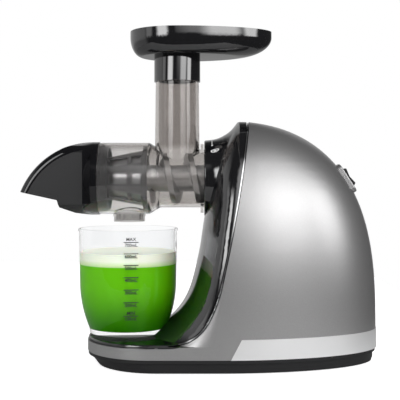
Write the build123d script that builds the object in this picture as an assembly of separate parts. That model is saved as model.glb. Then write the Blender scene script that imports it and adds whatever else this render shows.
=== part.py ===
from build123d import *
from math import atan2, cos, pi, radians, sin, sqrt, tan
import os

# Horizontal cold press juicer, millimetres, +Z up. The drum axis runs along X with the pulp nose
# towards -X and the motor housing towards +X. The origin lies on the table, under the middle.

# ---------------------------------------------------------------- housing
body_rear = 190.9          # rear end of the shell
body_top = 258.6           # crown of the shell
base_half_width = 84.0     # widest half breadth, at the skirt
base_front = -120.0        # blunt front of the foot under the cup
base_corner = 70.0         # plan radius of the two front corners
base_mid_x = 16.4          # where the rear half ellipse of the plan starts
crown_lean = 31.6          # how far the widest place moves back on its way up
rear_mid = 30.0            # x where the rear curve would reach the crown
rear_power = 2.9           # fullness of the rear curve
rear_round = 2.3
side_power = 2.3           # fullness of the side curve
side_round = 2.63
crown_share = 0.4          # least size of an inner section beside the outer one
wall = 2.6                 # moulded wall of shell and front panel
tray_z = 30.4              # surface that the cup stands on
ledge_z = 28.0             # top of the skirt round the cup tray
skirt_z = 15.2             # lower edge of the shell
tray_inset = 1.0           # step between the skirt and the cup tray
edge_round = 1.6           # soft edge of the cup tray
# front silhouette of the column: height, x
front_line = [
    (28.0, -64.0), (34.0, -49.0), (42.0, -37.0), (52.0, -26.5), (66.0, -16.5), (84.0, -9.0),
    (106.0, -3.5), (130.0, 1.2), (155.0, 4.8), (180.0, 7.5), (204.0, 11.0), (224.0, 19.0),
    (239.0, 28.0), (249.0, 35.0), (257.4, 43.0),
]

# seam between front panel and shell: level run, then three tangent arcs (radius, turn)
seam_start_x = -32.0
seam_arcs = [(45.0, 60.0), (130.0, 17.0), (1660.0, 7.0)]
seam_gap = 3.0             # width of the shadow groove
trim_width = 1.1           # bright strip that lies in the groove
trim_sink = 0.5            # how far the strip lies below the surface
trim_start = 8.0           # the strip begins where the seam has left the level run
flange_gap = 0.3           # play between shell wall and the panel's inner flange
flange_thick = 2.0
flange_reach = 7.0

band_top = 35.6            # bright band round the rear of the skirt
band_thick = 0.7
band_play = 0.1
band_end_x = 29.9          # lower end of the slanted band end
band_slant = 11.0

# ---------------------------------------------------------------- base
lip_z = 11.7               # underside of the rim that closes against the shell
lip_inset = 0.8
base_inset = 3.0
base_taper = 1.5
base_nose = 6.6            # how much further the lower edge draws in at the front
floor_z = 1.2
floor_thick = 2.6
foot_radius = 10.0
foot_sink = 1.2            # how deep the feet sit in the base plate
foot_play = 0.2
front_foot = (-84.0, 36.0)
rear_foot = (146.0, 36.0)
boss_x = (-44.0, 46.0, 134.0)
boss_r = 5.0
boss_top = 27.0
boss_rib = 2.4             # rib between boss and shell wall
boss_play = 0.4
screw_r = 1.9
screw_head_r = 3.6
screw_head = 2.4
screw_drive_r = 1.5
screw_seat_z = 8.6
screw_play = 0.3
screw_edge = 2.0           # material between a screw head's recess and the base's edge
screw_post_wall = 1.6
vent_count = 7
vent_pitch = 6.0
vent_length = 36.0
vent_width = 3.0
vent_y = 6.0
grommet_neck_r = 4.3
grommet_bore_r = 3.5
grommet_rim_r = 5.0
grommet_rim = 1.2
grommet_inside = 2.5       # how far the neck reaches into the base
grommet_seat = 0.4         # depth of the flat seat at the base's lower edge

# ---------------------------------------------------------------- juicing set
axis_z = 196.8             # drum and auger axis
drum_left_x = -109.0
drum_big_r = 38.7
drum_step_x = -54.9
drum_cone_x = -43.1
drum_small_r = 31.6
drum_wall = 2.4
drum_rear_wall = 3.2
chute_x = -24.8
chute_r_low = 24.3
chute_r_top = 23.5
chute_shoulder_z = 301.5
chute_neck_r = 22.6
chute_wall = 2.2
chute_top_z = 327.0
spout_x = -77.0
spout_r = 17.5
spout_wall = 2.2
spout_z = 150.0
spout_ring_z = 155.5       # lower edge of the thicker ring
spout_tip_r = 16.9
spout_ribs = 10
spout_rib = (1.2, 1.1)     # width, depth

collar_x = 4.6             # front face of the housing's drum collar
collar_r = 41.4
collar_lip = 1.6           # rounded edge of that face
collar_line = [(18.5, 42.6), (32.5, 50.3), (42.0, 62.6)]     # x, radius of the trumpet
collar_sweep = 32.0
socket_floor_x = 20.5
socket_floor_thick = 3.5
spigot_end_x = 19.6
fit = 0.35                 # play between turned-in parts
lug_count = 3
lug_angle = 26.0
slot_spread = 5.0          # how much wider the entry slots are than the lugs
lug_height = 4.8
lug_x = (9.2, 13.2)
unlock_turn = 40.0
flange_r = 37.6            # stop flange of the drum in front of the collar
flange_x = (0.6, 3.8)
drum_seal_x = (15.4, 17.6)
drum_seal_r = 30.4

auger_flight_r = 27.4
auger_core_r = 14.5
auger_left_x = -107.0
auger_disc_x = (11.5, 17.0)
auger_disc_r = 27.8
auger_seal_x = (13.0, 15.4)
auger_seal_r = 26.2
auger_pitch = 27.0
flight_root = 9.0
flight_tip = 5.0
flight_play = 0.5
auger_tip_r = 4.0
auger_tip_x = -121.5
hex_flats = 12.0
hex_play = 0.3
hex_in_x = -6.0
hex_out_x = 34.0

strainer_ring_x = (-61.0, -56.2)
strainer_ring_r = 35.9
strainer_big_r = 30.6      # outside radius of the cone beside the ring
strainer_small_r = 23.0
strainer_left_x = -106.5
strainer_wall = 2.2
strainer_windows = 8       # in each of two rows
window_rows = ((-97.5, -78.0), (-74.0, -63.4))
window_width = 12.0
screen_x = (-99.5, -61.8)
screen_thick = 0.5
screen_play = 0.1

# pulp nose
cap_arc_r = 86.5           # top line of the nose, about (cap_arc_x, cap_arc_z)
cap_arc_x = -111.6
cap_arc_z = 149.9
cap_gap = 0.3              # face gap between nose and drum
cap_ring_r = 39.6
cap_ring_left = -116.0
cap_scoop_left = -125.0
cheek_y = 29.0
cap_wall = 2.4
mouth_line = ((-196.0, 183.4), (-151.8, 173.7))   # underside of the open pulp mouth
lip_line = ((-149.8, 166.0), (-133.7, 159.6), (-116.0, 157.0))
cheek_round = 7.0
cheek_sink = 0.7
cheek_margin = 8.0
cap_turn = 30.0
cap_spigot_x = -98.5
cap_spigot_wall = 2.2
cap_web_x = (-121.6, -118.8)
cap_hub_r = 7.0
cap_pass_r = 18.6
cap_sleeve_wall = 2.0
cap_sleeve_x = -102.5
cap_lug_x = (-105.6, -102.8)
cap_lug_height = 1.1

# hopper tray
hopper_rim_z = 356.0
hopper_floor_z = 328.8
hopper_left = 51.1         # from the chute axis to the blunt end
hopper_right = 102.9       # from the chute axis to the pointed end
hopper_half_width = 48.0
hopper_bowl = 21.0         # height over which the sides curve in to the floor
hopper_round_left = 13.0   # how far they curve in, at each end and at the sides
hopper_round_right = 38.0
hopper_round_side = 11.0
hopper_wall = 2.4
sleeve_r = 25.1
sleeve_z = 301.9
sleeve_play = 0.3

# juice cup
cup_x = -78.3
cup_rim_z = 142.5
cup_rim_r = 54.0
cup_waist_z = 84.0
cup_waist_r = 52.3
cup_foot_r = 41.5
cup_foot_top = 35.6
cup_wall = 2.0
cup_floor = 5.0
cup_gap = 0.2
cup_bead = 0.8
cup_clear = 2.6            # room between the cup and the recess behind it

# ---------------------------------------------------------------- drive train
gear_pressure = 20.0
gear_addendum = 0.8        # stub teeth, in modules
gear_dedendum = 1.1
gear_backlash = 0.2
pinion_teeth = 14
wheel_teeth = 56
module_out = 1.25          # layshaft pinion on output gear
module_in = 1.0            # motor pinion on layshaft gear
out_gear_x = (41.0, 50.0)
out_gear_web = 2.5         # depth of the groove in the gear's face
in_gear_x = (51.5, 58.0)
in_gear_web = 2.0
lay_pinion_x = (40.4, 50.8)
motor_pinion_x = (50.9, 58.4)
case_x = (36.0, 62.0)
cover_x = 33.0
case_wall = 3.0
case_play = 1.6
case_foot_r = 22.0
output_shaft_r = 10.0
output_shaft_x = (21.4, 59.5)
bush_wall = 2.0
out_bush_front = (32.0, 39.0)
out_bush_rear = (55.5, 61.5)
layshaft_r = 4.0
lay_bush_front = (34.5, 39.0)
lay_bush_rear = (59.0, 62.0)
shaft_play = 0.05
seal_r = 14.0
post_r = 4.5
post_circle = 31.0

motor_r = 41.0
motor_bore_r = 20.5
stator_x = (78.0, 116.0)
motor_rear_x = 134.0
motor_gap = 0.5
motor_shaft_r = 4.0
bracket_thick = 3.0
bearing_r = 9.0
bearing_width = 7.0
fan_r = 34.0
fan_x = (137.0, 147.0)
fan_blades = 9
slot_count = 12
slot_width = 4.6
slot_depth_r = 33.0
coil_reach = 8.0
cradle_half = 34.0
cradle_plate = 3.0
cradle_top_half = 29.2
cradle_drop = 22.0         # how far the saddle ends below the motor axis
cradle_hole_r = 18.0
cradle_hole_z = 30.0

# ---------------------------------------------------------------- switch and electrics
switch_z = 196.5
switch_flange = (35.0, 22.0)     # along the slope, across
switch_body = (30.0, 18.0)
switch_depth = 20.0
switch_proud = 2.6
switch_sink = 3.2
rocker_r = 11.6
rocker_width = 13.0
rocker_play = 0.4
rocker_rise = 5.4
rocker_tilt = 10.0
rocker_pivot = 1.0               # pivot depth below the tangent plane
terminal_spots = (-9.0, -3.0, 3.0, 9.0)
terminal_size = (0.8, 6.3, 8.0)
board_box = (116.0, 150.0, -39.0, -25.0)
board_z = 14.0
board_thick = 1.6
board_post_r = 2.6
capacitor_x = (40.0, 76.0)
capacitor_y = 44.0
capacitor_r = 14.0

motor_z = axis_z - (pinion_teeth + wheel_teeth) / 2 * (module_in + module_out)
layshaft_z = axis_z - (pinion_teeth + wheel_teeth) / 2 * module_out
bush_r_out = output_shaft_r + bush_wall
case_back = case_x[1]
socket_back = socket_floor_x + socket_floor_thick
floor_top = floor_z + floor_thick
grommet_z = (floor_z + lip_z) / 2
grommet_face = body_rear - base_inset - base_taper - grommet_seat


# ---------------------------------------------------------------- small helpers
def x_cylinder(radius, x0, x1, y=0.0, z=axis_z):
    return Pos((x0 + x1) / 2, y, z) * Rot(0, 90, 0) * Cylinder(radius, x1 - x0)


def z_cylinder(radius, z0, z1, x=0.0, y=0.0):
    return Pos(x, y, (z0 + z1) / 2) * Cylinder(radius, z1 - z0)


def box(x0, x1, y0, y1, z0, z1):
    return Pos((x0 + x1) / 2, (y0 + y1) / 2, (z0 + z1) / 2) * Box(x1 - x0, y1 - y0, z1 - z0)


def xz_face(edges):
    return Plane.XZ * make_face(edges)


def turned(points, z=axis_z):
    """Solid of revolution about a line along X at height z, from (x, radius) points."""
    profile = xz_face(Polyline(*points, close=True))
    return Pos(0, 0, z) * revolve(profile, Axis.X)


def lathe(points, x=0.0, y=0.0):
    """Solid of revolution about a vertical line, from (radius, z) points."""
    profile = xz_face(Polyline(*points, close=True))
    return Pos(x, y, 0) * revolve(profile, Axis.Z)


def along_x(face, x0, x1, z=axis_z):
    """Extrude a flat outline, drawn as (y, z), from x0 to x1."""
    return extrude(Plane((x0, 0, z), x_dir=(0, 1, 0), z_dir=(1, 0, 0)) * face, amount=x1 - x0)


# ---------------------------------------------------------------- housing form
def rise(z):
    return max(0.0, (z - tray_z) / (body_top - tray_z))


def rear_x(z):
    full = (1 - rise(z) ** rear_power) ** (1 / rear_round)
    return rear_mid + (body_rear - rear_mid) * full


def half_width(z):
    return base_half_width * (1 - rise(z) ** side_power) ** (1 / side_round)


def widest_x(z):
    return base_mid_x + crown_lean * rise(z)


def shrunk(reach, inset):
    """Half axis of an inner section; near the crown it stays a share of the outer one."""
    return max(reach - inset, reach * crown_share)


def column(inset, front=front_line):
    """Lofted tower: at each height a long half ellipse to the rear and a flat one to the front."""
    squeeze = 1 - inset / (body_top - ledge_z)
    wires = []
    for z, x in front:
        middle = widest_x(z)
        breadth = shrunk(half_width(z), inset)
        back = shrunk(rear_x(z) - middle, inset)
        ahead = shrunk(middle - x, inset)
        level = ledge_z + (z - ledge_z) * squeeze
        rear = EllipticalCenterArc((middle, 0), back, breadth, start_angle=-90, arc_size=180)
        nose = EllipticalCenterArc((middle, 0), ahead, breadth, start_angle=90, arc_size=180)
        wires.append(Pos(0, 0, level) * Wire([rear, nose]))
    return Part() + Solid.make_loft(wires)


def base_plan(inset, nose=0.0):
    """Plan of the foot: half ellipse behind, straight sides, blunt rounded front."""
    breadth = base_half_width - inset
    corner = base_corner - inset
    front = base_front + inset + nose
    flat = breadth - corner
    return make_face(
        [
            EllipticalCenterArc(
                (base_mid_x, 0), body_rear - base_mid_x - inset, breadth,
                start_angle=-90, arc_size=180,
            ),
            Line((base_mid_x, breadth), (front + corner, breadth)),
            CenterArc((front + corner, flat), corner, 90, 90),
            Line((front, flat), (front, -flat)),
            CenterArc((front + corner, -flat), corner, 180, 90),
            Line((front + corner, -breadth), (base_mid_x, -breadth)),
        ]
    )


def base_slab(inset, z0, z1, nose=0.0):
    return Pos(0, 0, z0) * extrude(base_plan(inset, nose), amount=z1 - z0)


def cup_recess(grow):
    """Room round the cup that is scooped out of the column's foot."""
    low = tray_z - grow
    near = cup_foot_r + cup_clear + grow
    far = cup_rim_r + cup_clear + grow
    return lathe([(0, low), (near, low), (near, 40), (far, 66), (0, 66)], cup_x)


def front_zone(shift):
    """Everything in front of and above the seam, moved off it by shift."""
    floor = ledge_z + shift
    first = Line((base_front - 60, floor), (seam_start_x, floor))
    edges = [first]
    heading = 0.0
    for radius, turn in seam_arcs:
        direction = (cos(radians(heading)), sin(radians(heading)))
        edges.append(JernArc(edges[-1] @ 1, direction, radius - shift, turn))
        heading += turn
    top = edges[-1] @ 1
    lead = (top.X + 40 * cos(radians(heading)), top.Y + 40 * sin(radians(heading)))
    edges.append(Line((top.X, top.Y), lead))
    edges.append(Line(lead, (base_front - 60, lead[1])))
    edges.append(Line((base_front - 60, lead[1]), (base_front - 60, floor)))
    reach = base_half_width + 20
    return extrude(Pos(0, reach, 0) * xz_face(edges), amount=2 * reach)


def collar_flare():
    """Drum collar, a trumpet that sweeps up into the crown of the housing."""
    lip = JernArc((collar_x, collar_r - collar_lip), (0, 1), collar_lip, -90)
    sweep_line = FilletPolyline(lip @ 1, *collar_line, radius=collar_sweep)
    top_x, top_r = collar_line[-1]
    closing = Polyline(
        (top_x, top_r), (top_x + 12, top_r), (top_x + 12, 0), (collar_x, 0), lip @ 0,
    )
    flare = Pos(0, 0, axis_z) * revolve(xz_face([lip, sweep_line, closing]), Axis.X)
    reach = [(z, collar_x - 120) for z, x in front_line]
    return flare & column(0, reach)


def housing(inset):
    """Outer skin of the housing, or the same skin moved inwards."""
    tower = column(inset)
    foot = base_slab(inset, skirt_z - (1 if inset else 0), ledge_z)
    return tower + foot - cup_recess(inset)


def seam_strip(skin, back, front):
    """The part of a skin that lies between two distances from the seam."""
    return (skin & front_zone(back)) - front_zone(front)


def plan_half(x):
    if x < base_mid_x:
        return base_half_width
    return base_half_width * sqrt(1 - ((x - base_mid_x) / (body_rear - base_mid_x)) ** 2)


def boss_spots():
    """Where the shell's screw bosses stand: the screw heads just clear the base's edge."""
    spots = []
    for x in boss_x:
        y = plan_half(x) - base_inset - base_taper - screw_edge - screw_head_r - screw_play
        spots += [(x, y), (x, -y)]
    return spots


def boss(x, y, grow=0.0):
    """Screw boss with the rib that ties it to the shell's wall."""
    body = z_cylinder(boss_r + grow, skirt_z, boss_top + grow, x, y)
    y0, y1 = sorted((y, plan_half(x) * y / abs(y)))
    half = boss_rib / 2 + grow
    return body + box(x - half, x + half, y0, y1, skirt_z, boss_top + grow)


def ring_sector(r0, r1, start, size):
    outer = CenterArc((0, 0), r1, start, size)
    inner = CenterArc((0, 0), r0, start, size)
    return make_face([outer, Line(outer @ 1, inner @ 1), inner, Line(inner @ 0, outer @ 0)])


def sectors(r0, r1, x0, x1, middle, size):
    """Equally spaced lugs round the drum axis, or the slots that let them in."""
    pieces = []
    for index in range(lug_count):
        start = middle + index * 360 / lug_count - size / 2
        pieces.append(along_x(ring_sector(r0, r1, start, size), x0, x1))
    return Part() + pieces


# ---------------------------------------------------------------- housing pieces
def make_shell():
    body = housing(0) - housing(wall)
    body -= front_zone(-seam_gap / 2)
    for x, y in boss_spots():
        body += boss(x, y) & base_slab(1, skirt_z, boss_top)
        body -= z_cylinder(screw_r, skirt_z - 1, boss_top - 2, x, y)
    hole = (switch_body[0] + 0.6, switch_body[1] + 0.6)
    body -= switch_frame() * Pos(0, 0, -switch_depth / 2) * Box(*hole, switch_depth + 16)
    seat = (switch_flange[0] + 0.4, switch_flange[1] + 0.4)
    body -= switch_frame() * Pos(0, 0, 10 - switch_sink) * Box(*seat, 20)
    return body


def socket_body():
    """Cup behind the collar that takes the drum, with four posts for the gearbox."""
    body = x_cylinder(collar_r - collar_lip, collar_x + collar_lip, socket_back)
    for y, z in case_screw_spots():
        body += x_cylinder(post_r, socket_back - 1, cover_x, y, z)
    return body


def cut_socket(body):
    """Bore for the drum, lug groove, entry slots, seal seat and screw holes."""
    bore_r = drum_small_r + fit
    groove_r = drum_small_r + lug_height + fit
    body -= x_cylinder(bore_r, collar_x - 1, socket_floor_x)
    body -= x_cylinder(groove_r, lug_x[0] - fit, lug_x[1] + fit)
    slot_middle = 90 + unlock_turn
    slot = (bore_r - 1, groove_r - 0.1, collar_x - 1, lug_x[0] + 1)
    body -= sectors(*slot, slot_middle, lug_angle + slot_spread)
    body -= x_cylinder(seal_r, socket_floor_x - 1, socket_back + 1)
    for y, z in case_screw_spots():
        body -= x_cylinder(screw_r, socket_back, cover_x + 1, y, z)
    return body


def make_front_panel():
    outer = column(0) + collar_flare()
    body = outer & front_zone(seam_gap / 2)
    plate = base_slab(tray_inset, ledge_z, tray_z)
    plate = fillet(plate.faces().sort_by(Axis.Z)[-1].edges(), edge_round)
    level_part = box(base_front - 5, seam_start_x, -100, 100, ledge_z - 5, tray_z + 5)
    body += plate & (front_zone(seam_gap / 2) + level_part)
    body -= cup_recess(0)
    body -= housing(wall)
    body += socket_body()
    body = cut_socket(body)
    # inner flange that carries the trim and locates the shell
    lip_out = wall + flange_gap
    lip_in = lip_out + flange_thick
    inner_edge = seam_gap / 2 + flange_thick
    lip = seam_strip(housing(lip_out) - housing(lip_in), -flange_reach, inner_edge)
    rib = seam_strip(housing(wall - 0.4) - housing(wall + 1), seam_gap / 2 + 0.3, inner_edge)
    for x, y in boss_spots():
        lip -= boss(x, y, boss_play)
    return body + lip + rib


def make_seam_trim():
    skin = housing(trim_sink) - housing(wall + flange_gap)
    strip = seam_strip(skin, -trim_width / 2, trim_width / 2)
    return strip - box(base_front - 5, seam_start_x + trim_start, -100, 100, 0, 60)


def make_rear_band():
    band = base_slab(-band_thick, skirt_z, band_top)
    band -= base_slab(-band_play, skirt_z - 1, band_top + 1)
    corner = xz_face(
        Polyline(
            (base_front - 20, skirt_z - 2), (band_end_x, skirt_z - 2),
            (band_end_x + band_slant * 1.18, band_top + 2), (base_front - 20, band_top + 2),
            close=True,
        )
    )
    return band - extrude(Pos(0, 100, 0) * corner, amount=200)


def make_base_plate():
    low = Pos(0, 0, floor_z) * base_plan(base_inset + base_taper, base_nose).wires()[0]
    high = Pos(0, 0, lip_z) * base_plan(base_inset).wires()[0]
    body = Part() + Solid.make_loft([low, high])
    body += base_slab(lip_inset, lip_z, skirt_z)
    body -= base_slab(base_inset + base_taper + floor_thick, floor_top, skirt_z + 1, base_nose)
    post_radius = screw_head_r + screw_play + screw_post_wall
    for x, y in boss_spots():
        body += z_cylinder(post_radius, floor_top - 0.5, skirt_z, x, y)
        body -= z_cylinder(screw_r, floor_z - 1, skirt_z + 1, x, y)
        body -= z_cylinder(screw_head_r + screw_play, floor_z - 1, screw_seat_z, x, y)
    for index in range(vent_count):
        x = fan_x[0] - vent_pitch * (vent_count - 1) / 2 + vent_pitch * index
        slot = Rot(0, 0, 90) * SlotOverall(vent_length, vent_width)
        body -= Pos(x, vent_y, floor_z - 1) * extrude(slot, amount=floor_thick + 2)
    for x, y in foot_spots():
        body -= z_cylinder(foot_radius + foot_play, floor_z - 1, floor_z + foot_sink, x, y)
    # flat seat and hole for the cord grommet
    body -= box(grommet_face, body_rear, -grommet_rim_r - 1, grommet_rim_r + 1, floor_z - 1, lip_z)
    body -= x_cylinder(grommet_neck_r, grommet_in() - 0.5, body_rear, 0, grommet_z)
    for x, y in board_posts():
        body += z_cylinder(board_post_r, floor_top - 0.5, board_z, x, y)
    return body


def foot_spots():
    return [(x, side * y) for x, y in (front_foot, rear_foot) for side in (-1, 1)]


def make_feet():
    top = floor_z + foot_sink
    outline = [(0, 0), (foot_radius - 1.2, 0), (foot_radius, 1.0), (foot_radius, top), (0, top)]
    return Part() + [lathe(outline, x, y) for x, y in foot_spots()]


def make_base_screws():
    screws = []
    head_z = screw_seat_z - screw_head
    for x, y in boss_spots():
        screw = z_cylinder(screw_r, screw_seat_z, boss_top - 3, x, y)
        screw += z_cylinder(screw_head_r, head_z, screw_seat_z, x, y)
        screws.append(screw - z_cylinder(screw_drive_r, head_z - 1, screw_seat_z - 1, x, y))
    return Part() + screws


# ---------------------------------------------------------------- juicing set
def drum_outer():
    return turned(
        [(drum_left_x, 0), (drum_left_x, drum_big_r), (drum_step_x, drum_big_r),
         (drum_cone_x, drum_small_r), (spigot_end_x, drum_small_r), (spigot_end_x, 0)]
    )


def drum_inner():
    big = drum_big_r - drum_wall
    small = drum_small_r - drum_rear_wall
    return turned(
        [(drum_left_x - 1, 0), (drum_left_x - 1, big), (drum_step_x - 1, big),
         (drum_cone_x - 1, small), (spigot_end_x + 1, small), (spigot_end_x + 1, 0)]
    )


def make_drum():
    taper_top = chute_shoulder_z
    body = drum_outer()
    body += lathe(
        [(0, axis_z), (chute_r_low, axis_z), (chute_r_low, axis_z + drum_small_r),
         (chute_r_top, taper_top), (chute_neck_r, taper_top), (chute_neck_r, chute_top_z),
         (0, chute_top_z)],
        chute_x,
    )
    body += z_cylinder(spout_r, spout_ring_z, axis_z, spout_x)
    body += z_cylinder(spout_tip_r, spout_z, spout_ring_z, spout_x)
    body += x_cylinder(flange_r, *flange_x)
    body += sectors(drum_small_r - 1, drum_small_r + lug_height, *lug_x, 90, lug_angle)
    body -= drum_inner()
    hole_top = chute_neck_r - chute_wall
    body -= z_cylinder(hole_top, axis_z, chute_top_z + 1, chute_x)
    bore = z_cylinder(spout_r - spout_wall, spout_z - 1, axis_z, spout_x)
    body -= bore - spout_rib_set()
    # bayonet for the pulp nose, cut into the wall of the open left end
    inner = drum_big_r - drum_wall
    groove = inner + cap_lug_height + fit
    body -= x_cylinder(groove, cap_lug_x[0] - fit, cap_lug_x[1] + fit)
    slot = (inner - 1, groove - 0.1, drum_left_x - 1, cap_lug_x[0] + 1)
    body -= sectors(*slot, 90 + cap_turn, lug_angle + slot_spread)
    # groove for the drum seal
    body -= x_cylinder(drum_small_r + 1, *drum_seal_x) - x_cylinder(drum_seal_r, *drum_seal_x)
    return body


def spout_rib_set():
    """Upright ribs on the inner wall of the spout, below the drum's own wall."""
    inner = spout_r - spout_wall - spout_rib[1]
    top = axis_z - drum_big_r
    ribs = []
    for index in range(spout_ribs):
        rib = box(inner, spout_r, -spout_rib[0] / 2, spout_rib[0] / 2, spout_z + 2, top)
        ribs.append(Pos(spout_x, 0, 0) * Rot(0, 0, index * 360 / spout_ribs) * rib)
    return Part() + ribs


def make_drum_seal():
    ring = x_cylinder(drum_small_r + 0.2, *drum_seal_x)
    return ring - x_cylinder(drum_seal_r, *drum_seal_x)


def strainer_cone(grow):
    """Points of the strainer's cone, moved in or out from its outer surface."""
    return [
        (strainer_left_x, strainer_small_r + grow), (cap_sleeve_x + 1, strainer_small_r + grow),
        (strainer_ring_x[0], strainer_big_r + grow), (strainer_ring_x[1], strainer_big_r + grow),
    ]


def make_strainer_frame():
    outer = strainer_cone(0)
    inner = strainer_cone(-strainer_wall)
    body = turned([(strainer_left_x, 0), *outer, (strainer_ring_x[1], 0)])
    body += x_cylinder(strainer_ring_r, *strainer_ring_x)
    body -= turned([(strainer_left_x - 1, 0), (strainer_left_x - 1, inner[0][1]), *inner[1:3],
                    (strainer_ring_x[1] + 1, inner[3][1]), (strainer_ring_x[1] + 1, 0)])
    for x0, x1 in window_rows:
        for index in range(strainer_windows):
            angle = index * 360 / strainer_windows
            window = box(x0, x1, -window_width / 2, window_width / 2, 0, strainer_big_r + 2)
            body -= Pos(0, 0, axis_z) * Rot(angle, 0, 0) * window
    return body


def make_strainer_screen():
    outer_r = -strainer_wall - screen_play
    inner_r = outer_r - screen_thick
    slope = (strainer_big_r - strainer_small_r) / (strainer_ring_x[0] - cap_sleeve_x - 1)

    def radius(x):
        return strainer_small_r + slope * (x - cap_sleeve_x - 1)

    x0, x1 = screen_x
    return turned(
        [(x0, radius(x0) + inner_r), (x0, radius(x0) + outer_r),
         (x1, radius(x1) + outer_r), (x1, radius(x1) + inner_r)]
    )


def make_auger():
    body = turned(
        [(auger_tip_x, 0), (auger_tip_x, auger_tip_r), (auger_left_x - 3, auger_tip_r),
         (auger_left_x - 1, auger_core_r - 2), (auger_left_x + 3, auger_core_r + 0.8),
         (strainer_ring_x[0], auger_core_r), (auger_disc_x[0], auger_core_r),
         (auger_disc_x[0], auger_disc_r), (auger_disc_x[1], auger_disc_r), (auger_disc_x[1], 0)]
    )
    length = auger_disc_x[0] - auger_left_x
    path = Pos(auger_left_x, 0, axis_z) * Rot(0, 90, 0) * Helix(auger_pitch, length, auger_core_r)
    start = path @ 0
    outward = Vector(0, start.Y, start.Z - axis_z).normalized()
    section = Plane(start, x_dir=outward, z_dir=path % 0)
    depth = auger_flight_r - auger_core_r + 3
    face = section * make_face(
        Polyline(
            (-1.5, -flight_root / 2), (depth, -flight_tip / 2), (depth, flight_tip / 2),
            (-1.5, flight_root / 2), close=True,
        )
    )
    flights = sweep(face, path=path, is_frenet=True)
    flights &= x_cylinder(auger_flight_r, auger_left_x, auger_disc_x[0] + 1)
    left_r = strainer_small_r - strainer_wall - screen_play - screen_thick - flight_play
    outside_r = auger_flight_r + 5
    flights -= turned(
        [(auger_left_x - 1, left_r), (cap_sleeve_x + 1, left_r),
         (strainer_ring_x[0], auger_flight_r), (strainer_ring_x[0], outside_r),
         (auger_left_x - 1, outside_r)]
    )
    body += flights
    body -= hex_bar(hex_flats, hex_in_x, auger_disc_x[1] + 1)
    body -= x_cylinder(auger_disc_r + 1, *auger_seal_x) - x_cylinder(auger_seal_r, *auger_seal_x)
    return body


def hex_bar(flats, x0, x1):
    outline = RegularPolygon(flats / 2, 6, major_radius=False)
    return along_x(outline, x0, x1)


def make_auger_hex():
    return hex_bar(hex_flats, hex_in_x, hex_out_x)


def make_auger_seal():
    ring = x_cylinder(drum_small_r - drum_rear_wall - fit, *auger_seal_x)
    return ring - x_cylinder(auger_seal_r, *auger_seal_x)


def nose_wheel(inset):
    """Disc with a rounded rim; its edge draws the top line of the nose."""
    radius = cap_arc_r - inset
    half = cheek_y - inset
    soft = cheek_round - inset
    rim = FilletPolyline((0, half), (radius, half), (radius, -half), (0, -half), radius=soft)
    disc = revolve(make_face([rim, Line((0, -half), (0, half))]), Axis.Y)
    return Pos(cap_arc_x, 0, cap_arc_z) * disc


def nose_region(lift, right):
    """Side view limit of the nose: the mouth line, the step and the lower lip."""
    outline = [(x, z + lift) for x, z in mouth_line + lip_line if x < right]
    top = cap_arc_z + cap_arc_r + 2
    corners = [(right, outline[-1][1]), (right, top), (mouth_line[0][0], top)]
    face = xz_face(Polyline(*outline, *corners, close=True))
    return extrude(Pos(0, 60, 0) * face, amount=120)


def lip_floor():
    """Space below the floor of the nose, right of the open mouth."""
    line = [(x, z + cap_wall) for x, z in lip_line]
    start, end = lip_line[0][0], cap_web_x[0] + 1
    low = axis_z - cap_ring_r - 10
    face = xz_face(
        Polyline((start, low), *line, (end, line[-1][1]), (end, low), close=True)
    )
    return extrude(Pos(0, 60, 0) * face, amount=120)


def make_end_cap():
    right = drum_left_x - cap_gap
    inner_drum = drum_big_r - drum_wall
    spigot_r = inner_drum - fit
    body = nose_wheel(0) & x_cylinder(cap_ring_r, -200, right) & nose_region(0, right)
    body += turned(
        [(right, 0), (right, cap_ring_r), (cap_ring_left, cap_ring_r),
         (cap_scoop_left, cheek_y - 0.5), (cap_scoop_left, 0)]
    )
    body += x_cylinder(spigot_r, right - 1, cap_spigot_x)
    body += sectors(spigot_r - 1, inner_drum + cap_lug_height, *cap_lug_x, 90, lug_angle)
    # open chute for the pulp, left of the web
    pulp = nose_wheel(cap_wall) & x_cylinder(cap_ring_r - cap_wall, -200, cap_web_x[0])
    body -= pulp - lip_floor()
    # juice side of the web, and the sleeve that takes the end of the strainer
    sleeve_in = strainer_small_r + fit
    juice = x_cylinder(spigot_r - cap_spigot_wall, cap_web_x[1], cap_spigot_x + 1)
    sleeve = x_cylinder(sleeve_in + cap_sleeve_wall, cap_web_x[1], cap_sleeve_x)
    body -= juice - sleeve
    body -= x_cylinder(sleeve_in, cap_web_x[1], cap_sleeve_x + 1)
    # hub on three spokes inside the ring-shaped pulp passage
    passage = x_cylinder(cap_pass_r, cap_web_x[0] - 1, cap_web_x[1] + 1)
    passage -= x_cylinder(cap_hub_r, cap_web_x[0] - 2, cap_web_x[1] + 2)
    for index in range(3):
        spoke = box(cap_web_x[0] - 2, cap_web_x[1] + 2, -2, 2, 0, cap_pass_r + 1)
        passage -= Pos(0, 0, axis_z) * Rot(index * 120 + 60, 0, 0) * spoke
    body -= passage
    body -= x_cylinder(auger_tip_r + shaft_play, cap_web_x[0] - 2, cap_web_x[1] + 2)
    # sunk cheeks inside a raised rim band
    cheek = Pos(cap_arc_x, 60, cap_arc_z) * Rot(90, 0, 0) * Cylinder(
        cap_arc_r - cheek_margin, 120, align=(Align.CENTER, Align.CENTER, Align.MIN)
    )
    cheek &= nose_region(cheek_margin / 2, cap_scoop_left - 1)
    cheek -= box(-200, 0, -cheek_y + cheek_sink, cheek_y - cheek_sink, 100, 300)
    body -= cheek
    return body


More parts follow.
